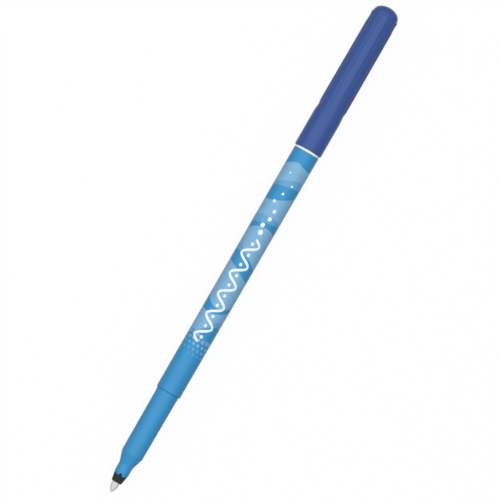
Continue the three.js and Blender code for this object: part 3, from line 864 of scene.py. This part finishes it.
def add_cap(sizes, colours):
    """The ribbed cap. On the core's radius stand four ribs, each inside a round-ended outline.

    The side of a rib rises across its outline, and its top follows an envelope: up from the
    waist, then slowly down, a shallow dip, and a small ear at the rear end.
    """
    band_end = CAP_RIM + 11.99 * MM
    waist = band_end + 3 * MM
    waist_radius = CAP_RADIUS - 0.19 * MM
    dome_radius, dome_height = CAP_RADIUS - 0.44 * MM, 2.85 * MM
    hole, hole_edge = 0.8 * MM, 0.12 * MM
    wall = 0.74 * MM
    bore = LAND_RADIUS + 0.1 * MM
    bore_end = CAP_RIM + 12.6 * MM
    ring_front = CAP_RIM + sizes.land_length + 0.12 * MM
    flank = 0.35 * MM  # length of the grip ring's sloped sides
    top_angle = math.acos((hole + hole_edge) / dome_radius)
    dome = CAP_END - dome_height * math.sin(top_angle)

    def dome_arc(angles, radius, height):
        """Part of an ellipse about the dome's middle: dome + height sin(a), radius cos(a)."""
        return np.column_stack([dome + height * np.sin(angles), radius * np.cos(angles)])

    rim = rounded(
        (CAP_RIM, bore + 0.2 * MM),
        (CAP_RIM, CAP_RADIUS, 0.34 * MM),
        (band_end, CAP_RADIUS),
        steps=8,
    )
    share = np.linspace(0, 1, 22)[1:]
    fall = (waist_radius - CAP_RADIUS) * eased(share)
    step = np.column_stack([band_end + share * (waist - band_end), CAP_RADIUS + fall])
    outer_dome = dome_arc(np.linspace(0, top_angle, 28), dome_radius, dome_height)
    inner_radius, inner_height = dome_radius - wall, dome_height - wall
    inner_top = math.acos(hole / inner_radius)
    inner_dome = dome_arc(np.linspace(inner_top, 0, 14), inner_radius, inner_height)
    # The hole's rim goes on from the dome's edge, so the points before its curve are left out.
    hole_rim = rounded(
        (CAP_END, hole + 0.3 * MM),
        (CAP_END, hole, hole_edge),
        (dome + inner_height, hole),
    )[3:-1]
    inside = rounded(
        (bore_end + 1.5 * MM, waist_radius - wall),
        (bore_end, bore),
        (ring_front + 1.2 * MM, bore, 0.1 * MM),
        (ring_front + 1.2 * MM - flank, CAP_GRIP_RADIUS, 0.1 * MM),
        (ring_front + flank, CAP_GRIP_RADIUS, 0.1 * MM),
        (ring_front, bore, 0.1 * MM),
        (CAP_RIM + 0.45 * MM, bore, 0.1 * MM),
    )
    rib_end = waist + sizes.rib_length
    ear_end = rib_end + 0.4 * MM
    outside = np.vstack([rim, step, outer_dome])
    outside = with_rows(outside, waist, ear_end, 0.6 * MM)
    outside = with_rows(outside, waist, waist + 2.6 * MM, 0.08 * MM)
    outside = with_rows(outside, rib_end - 4.6 * MM, ear_end, 0.08 * MM)
    profile = np.vstack([outside, hole_rim, inner_dome, inside])
    outer_rows = len(outside)
    start, tail = np.array(RIB_START) * MM, np.array(RIB_DIP + RIB_EAR) * MM
    places = np.concatenate([start[:, 0], sizes.rib_length + tail[:, 0]])
    depths = np.concatenate([start[:, 1], tail[:, 1]])

    def ribs(s, r, angle):
        """Lifts the outside to the ribs' tops, inside an outline round in front, flat behind."""
        y = r * np.sin(off_centre(angle, CAP_RIBS))
        before = np.clip(waist + sizes.rib_half_width - s, 0, None)
        inward = np.minimum(sizes.rib_half_width - np.hypot(before, y), rib_end - s)
        rise = eased(np.clip(inward / RIB_SIDE + 0.5, 0, 1))
        top = CAP_RADIUS - np.interp(s - waist, places, depths)
        outer = (np.arange(len(s)) < outer_rows)[:, None] & (s > waist)
        return s, np.where(outer, r + np.clip(top - r, 0, None) * rise, r)

    piece = turned("ribbed_cap", profile, rib_angles(), shape=ribs, uv_split=outer_rows)
    plastic = moulded_plastic("moulded_navy_polypropylene", colours.navy, 0.3, 0.18)
    finish_piece(piece, plastic, "cap_blue", CAP, "cap_shell")


def add_seal(sizes, colours):
    """The white cup inside the cap, with the crossed fins that carry it."""
    lip = sizes.neck_radius + PRESS_GAP
    cup = COLLAR_RADIUS + 0.1 * MM
    outer = lip + 0.6 * MM
    lip_end = CAP_RIM + (BARREL_FRONT - SECTION_FRONT)
    cup_end = CAP_RIM + (BARREL_FRONT - NIB_TIP) + 2.4 * MM
    base = cup_end + 0.9 * MM
    profile = rounded(
        (SEAL_FRONT, outer, 0.08 * MM),
        (base, outer, 0.15 * MM),
        (base, POLE_RADIUS),
        (cup_end, POLE_RADIUS),
        (cup_end, cup, 0.3 * MM),
        (lip_end + 0.3 * MM, cup),
        (lip_end, lip),
        (SEAL_FRONT + 0.35 * MM, lip, 0.1 * MM),
        (SEAL_FRONT, lip + 0.35 * MM, 0.05 * MM),
    )
    on_axis = int(np.argmin(profile[:, 1]))
    piece = turned("seal_cup", profile, even_angles(sizes.columns), uv_split=on_axis)
    plastic = moulded_plastic("moulded_white_polyethylene", colours.plug, 0.45, 0.2)
    finish_piece(piece, plastic, "seal_white", CAP, "cap_seal")
    low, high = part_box("cap_seal")
    reaches = np.array([(high.z - low.z) / 2, 3.38 * MM]) - PRESS_GAP
    fins = crossed_walls("seal_fins", [base - 0.4 * MM, SEAL_END], reaches, 0.8 * MM)
    finish_piece(fins, plastic, "seal_white", CAP)


def finish_reservoir():
    """Finishes of the reservoir's own solids, which stay: soaked fibre and clear film."""
    fibre = pressed_fibre("soaked_polyester_fibre", linear("#E8E6DD"))
    clear = moulded_plastic("clear_polypropylene_film", linear("#D9E2E6"), 0.2, 0.5)
    finishes = {"reservoir_core": (fibre, "core_fibre"), "reservoir_film": (clear, "film_clear")}
    for name, (material, slot) in finishes.items():
        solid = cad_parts[name]
        solid.data.materials.clear()
        solid.data.materials.append(material)


# Stage

WHITE = (1, 1, 1, 1)
FLOOR_HALF = 3.0  # half the length of the board's sides
FLOOR_GLOW = 0.93  # share of the shown white that the floor gives itself; light gives the rest
SURROUND = 0.35  # share of full light that comes from all around
LAMP_WATTS = 19.5  # gives the pen's top the rest of full light
LAMP_LENGTH, LAMP_WIDTH = 1.04, 2.73  # along the pen and across it
LAMP_PLACE = (0.05, 0.455, 1.3)

PHOTO_PIXELS = 500
PIXEL = 0.3158 * MM  # what a pixel covers at the pen's axis
CAMERA_HEIGHT = 936 * MM  # above the pen's axis
CAMERA_OFFSET = 30 * MM  # towards the nib
CAMERA_AIM = (-0.3 * MM, 0.075 * MM)  # the x and y that it looks at
PEN_TILT = 60  # degrees between the pen and the picture's lower edge
SENSOR = 36


def background_rays(tree):
    """1 for the rays that see the white background: camera, glossy and transmitted ones."""
    seen = node(tree, "ShaderNodeLightPath").outputs
    bounced = (seen["Is Glossy Ray"], seen["Is Transmission Ray"])
    bounced = node(tree, MATH, bounced, operation="ADD")
    return node(tree, MATH, (seen["Is Camera Ray"], bounced), operation="ADD", use_clamp=True)


def floor_material():
    """Matt white board: plain paint with a faint roller texture of 1.5 mm.

    The rays that see the background see it white. Other rays see it dark grey, so that it
    throws little light back under the pen.
    """
    material, tree, output, place = new_material("painted_white_board")
    roller = node(tree, NOISE, {"Vector": place, "Scale": 1 / (1.5 * MM), "Detail": 2})
    shown = background_rays(tree)
    tone = varied(tree, 1.0, (roller, 0.004))
    white = node(tree, "ShaderNodeCombineColor", (tone, tone, tone))
    inputs = {0: shown, 6: (*linear("#484848"), 1.0), 7: white}
    colour = node(tree, "ShaderNodeMix", inputs, data_type="RGBA").outputs[2]
    paint = node(tree, "ShaderNodeBsdfDiffuse", {"Color": colour})
    glow = node(tree, "ShaderNodeEmission", {"Color": WHITE, "Strength": 1.0})
    share = node(tree, MATH, (shown, FLOOR_GLOW), operation="MULTIPLY")
    board = node(tree, "ShaderNodeMixShader", (share, paint, glow))
    tree.links.new(board.outputs[0], output.inputs[0])
    return material


def add_floor():
    """A wide level board under the pen."""
    corners = [(-1, -1, 0), (1, -1, 0), (1, 1, 0), (-1, 1, 0)]
    floor = add_mesh("floor", np.array(corners) * FLOOR_HALF, [(0, 1, 2, 3)])
    floor.data.materials.append(floor_material())


def add_light():
    """A softbox that hangs level over the pen, farther out on one side, in even surroundings."""
    lamp = bpy.data.lights.new("softbox", "AREA")
    lamp.shape = "RECTANGLE"
    lamp.size, lamp.size_y = LAMP_LENGTH, LAMP_WIDTH
    lamp.energy = LAMP_WATTS
    add_object("softbox", lamp).location = LAMP_PLACE

    world = bpy.data.worlds.new("studio")
    bpy.context.scene.world = world
    world.use_nodes = True
    tree = world.node_tree
    tree.nodes.clear()
    strength = node(tree, MATH, (SURROUND, background_rays(tree)), operation="MAXIMUM")
    sky = node(tree, "ShaderNodeBackground", {"Color": WHITE, "Strength": strength})
    output = node(tree, "ShaderNodeOutputWorld")
    tree.links.new(sky.outputs[0], output.inputs[0])


def add_camera():
    """The camera above the pen, aimed near its middle.

    Its height, and how far it stands towards the nib, follow from how much each round rim bows
    in the photo.
    """
    camera = add_object("overhead", bpy.data.cameras.new("overhead"))
    aim_x, aim_y = CAMERA_AIM
    tilt = math.atan((CAMERA_OFFSET + aim_x) / CAMERA_HEIGHT)
    seen_width = PHOTO_PIXELS * PIXEL
    camera.data.sensor_width = SENSOR
    camera.data.lens = SENSOR * CAMERA_HEIGHT / math.cos(tilt) / seen_width
    camera.data.clip_start = 0.01
    camera.location = (-CAMERA_OFFSET, aim_y, AXIS_HEIGHT + CAMERA_HEIGHT)
    turn = Matrix.Rotation(-tilt, 3, "Y") @ Matrix.Rotation(math.radians(-PEN_TILT), 3, "Z")
    camera.rotation_euler = turn.to_euler()
    bpy.context.scene.camera = camera
    bpy.context.scene.view_settings.view_transform = "Standard"


# Operators and the sidebar


def settings(context):
    """The sizes and the colours that the sidebar shows."""
    return context.scene.pen_sizes, context.scene.pen_colours


class PEN_OT_nib(bpy.types.Operator):
    """Add the fibre nib and the black collar that holds it"""

    bl_idname = "pen.nib"
    bl_label = "Nib and Collar"

    def execute(self, context):
        add_nib(*settings(context))
        add_collar(*settings(context))
        return {"FINISHED"}


class PEN_OT_section(bpy.types.Operator):
    """Add the grip section with its notched nose"""

    bl_idname = "pen.section"
    bl_label = "Grip Section"

    def execute(self, context):
        add_section(*settings(context))
        return {"FINISHED"}


class PEN_OT_barrel(bpy.types.Operator):
    """Add the barrel with its pale print and its white strokes"""

    bl_idname = "pen.barrel"
    bl_label = "Printed Barrel"

    def execute(self, context):
        add_barrel(*settings(context))
        add_marks(*settings(context))
        return {"FINISHED"}


class PEN_OT_plug(bpy.types.Operator):
    """Add the white rear plug"""

    bl_idname = "pen.plug"
    bl_label = "Rear Plug"

    def execute(self, context):
        add_plug(*settings(context))
        return {"FINISHED"}


class PEN_OT_cap(bpy.types.Operator):
    """Add the ribbed cap and the seal inside it"""

    bl_idname = "pen.cap"
    bl_label = "Cap and Seal"

    def execute(self, context):
        add_cap(*settings(context))
        add_seal(*settings(context))
        return {"FINISHED"}


class PEN_OT_reservoir(bpy.types.Operator):
    """Finish the reservoir rod and its film sleeve"""

    bl_idname = "pen.reservoir"
    bl_label = "Reservoir Finishes"

    def execute(self, context):
        finish_reservoir()
        return {"FINISHED"}


class PEN_OT_stage(bpy.types.Operator):
    """Add the floor, the light, the surroundings and the camera"""

    bl_idname = "pen.stage"
    bl_label = "Studio"

    def execute(self, context):
        add_floor()
        add_light()
        add_camera()
        return {"FINISHED"}


OPERATORS = (
    PEN_OT_nib,
    PEN_OT_section,
    PEN_OT_barrel,
    PEN_OT_plug,
    PEN_OT_cap,
    PEN_OT_reservoir,
    PEN_OT_stage,
)


class PEN_PT_sidebar(bpy.types.Panel):
    """Lists the pen's pieces, sizes and colours"""

    bl_label = "Ink Eradicator Pen"
    bl_idname = "PEN_PT_sidebar"
    bl_space_type = "VIEW_3D"
    bl_region_type = "UI"
    bl_category = "Pen"

    def draw(self, context):
        for operator in OPERATORS:
            self.layout.operator(operator.bl_idname)
        for group in settings(context):
            box = self.layout.box()
            for name in group.__annotations__:
                box.prop(group, name)


CLASSES = (PenSizes, PenColours, *OPERATORS, PEN_PT_sidebar)


def register():
    for cls in CLASSES:
        bpy.utils.register_class(cls)
    bpy.types.Scene.pen_sizes = PointerProperty(type=PenSizes)
    bpy.types.Scene.pen_colours = PointerProperty(type=PenColours)


def unregister():
    del bpy.types.Scene.pen_colours
    del bpy.types.Scene.pen_sizes
    for cls in reversed(CLASSES):
        bpy.utils.unregister_class(cls)


def main():
    register()
    for operator in OPERATORS:
        group, name = operator.bl_idname.split(".")
        getattr(getattr(bpy.ops, group), name)()


if __name__ == "__main__":
    main()
